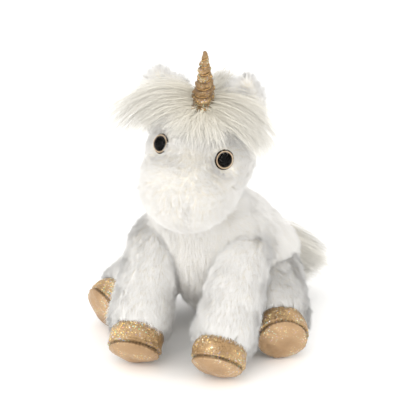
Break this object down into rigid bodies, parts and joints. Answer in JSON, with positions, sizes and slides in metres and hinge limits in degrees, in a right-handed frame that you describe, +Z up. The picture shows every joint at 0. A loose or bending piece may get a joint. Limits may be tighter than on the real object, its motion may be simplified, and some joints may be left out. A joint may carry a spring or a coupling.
{
  "type": "plush unicorn",
  "caption": "Seated plush unicorn with a stuffed body, gold glitter horn and hooves, long forelock and tail, safety eyes and seam-jointed head, legs and tail.",
  "frame": {"origin": "centre of the flat seat panel, on the surface the toy sits on", "axes": "+Z up through the horn's side of the toy, -Y the way the body faces, +X the toy's own left"},
  "size_m": [0.1961, 0.2234, 0.2582],
  "materials": {
    "white_plush": "matte",
    "long_pile": "matte",
    "gold_glitter_fabric": "satin",
    "gold_thread": "satin",
    "polyester_fill": "matte",
    "pouch_cloth": "matte",
    "clear_eye": "gloss",
    "painted_eye": "gloss",
    "white_plastic": "matte"
  },
  "bodies": {
    "torso": {"torso_skin": "white_plush", "torso_stuffing": "polyester_fill", "seat_panel": "white_plush", "seat_pellet_pouch": "pouch_cloth"},
    "neck": {"neck_skin": "white_plush", "neck_stuffing": "polyester_fill"},
    "head": {"head_skin": "white_plush", "head_stuffing": "polyester_fill", "forelock": "long_pile", "mane": "long_pile", "horn_cover": "gold_glitter_fabric", "horn_stuffing": "polyester_fill", "horn_thread": "gold_thread", "ear_left_outer": "white_plush", "ear_left_lining": "white_plush", "ear_right_outer": "white_plush", "ear_right_lining": "white_plush", "eye_left_dome": "clear_eye", "eye_left_iris": "painted_eye", "eye_left_washer": "white_plastic", "eye_right_dome": "clear_eye", "eye_right_iris": "painted_eye", "eye_right_washer": "white_plastic"},
    "front_left_leg": {"front_left_leg_skin": "white_plush", "front_left_leg_stuffing": "polyester_fill", "front_left_hoof_upper": "gold_glitter_fabric", "front_left_hoof_sole": "gold_glitter_fabric"},
    "front_right_leg": {"front_right_leg_skin": "white_plush", "front_right_leg_stuffing": "polyester_fill", "front_right_hoof_upper": "gold_glitter_fabric", "front_right_hoof_sole": "gold_glitter_fabric"},
    "hind_left_leg": {"hind_left_leg_skin": "white_plush", "hind_left_leg_stuffing": "polyester_fill", "hind_left_hoof_upper": "gold_glitter_fabric", "hind_left_hoof_sole": "gold_glitter_fabric"},
    "hind_right_leg": {"hind_right_leg_skin": "white_plush", "hind_right_leg_stuffing": "polyester_fill", "hind_right_hoof_upper": "gold_glitter_fabric", "hind_right_hoof_sole": "gold_glitter_fabric"},
    "tail": {"tail_backing": "white_plush", "tail_plume": "long_pile"}
  },
  "joints": [
    {"name": "neck_nod", "type": "hinge", "parent": "torso", "child": "neck", "pos_m": [0, -0.066, 0.119], "axis": [1, 0, 0], "range_deg": [-12, 12], "stiffness_Nm_per_rad": 0.6},
    {"name": "head_turn", "type": "hinge", "parent": "neck", "child": "head", "pos_m": [0, -0.066, 0.119], "axis": [0, 0, 1], "range_deg": [-15, 15], "stiffness_Nm_per_rad": 0.4},
    {"name": "front_left_shoulder", "type": "hinge", "parent": "torso", "child": "front_left_leg", "pos_m": [0.039, -0.07, 0.08211], "axis": [-1, 0, 0], "range_deg": [-3, 25], "stiffness_Nm_per_rad": 0.15},
    {"name": "front_right_shoulder", "type": "hinge", "parent": "torso", "child": "front_right_leg", "pos_m": [-0.039, -0.07, 0.08211], "axis": [-1, 0, 0], "range_deg": [-3, 25], "stiffness_Nm_per_rad": 0.15},
    {"name": "hind_left_hip", "type": "hinge", "parent": "torso", "child": "hind_left_leg", "pos_m": [0.045, -0.018, 0.04724], "axis": [0, 0, 1], "range_deg": [-2, 20], "stiffness_Nm_per_rad": 0.15},
    {"name": "hind_right_hip", "type": "hinge", "parent": "torso", "child": "hind_right_leg", "pos_m": [-0.045, -0.018, 0.04724], "axis": [0, 0, -1], "range_deg": [-2, 20], "stiffness_Nm_per_rad": 0.15},
    {"name": "tail_root", "type": "hinge", "parent": "torso", "child": "tail", "pos_m": [0.009, 0.037, 0.064], "axis": [1, 0, 0], "range_deg": [-12, 15], "stiffness_Nm_per_rad": 0.05}
  ]
}
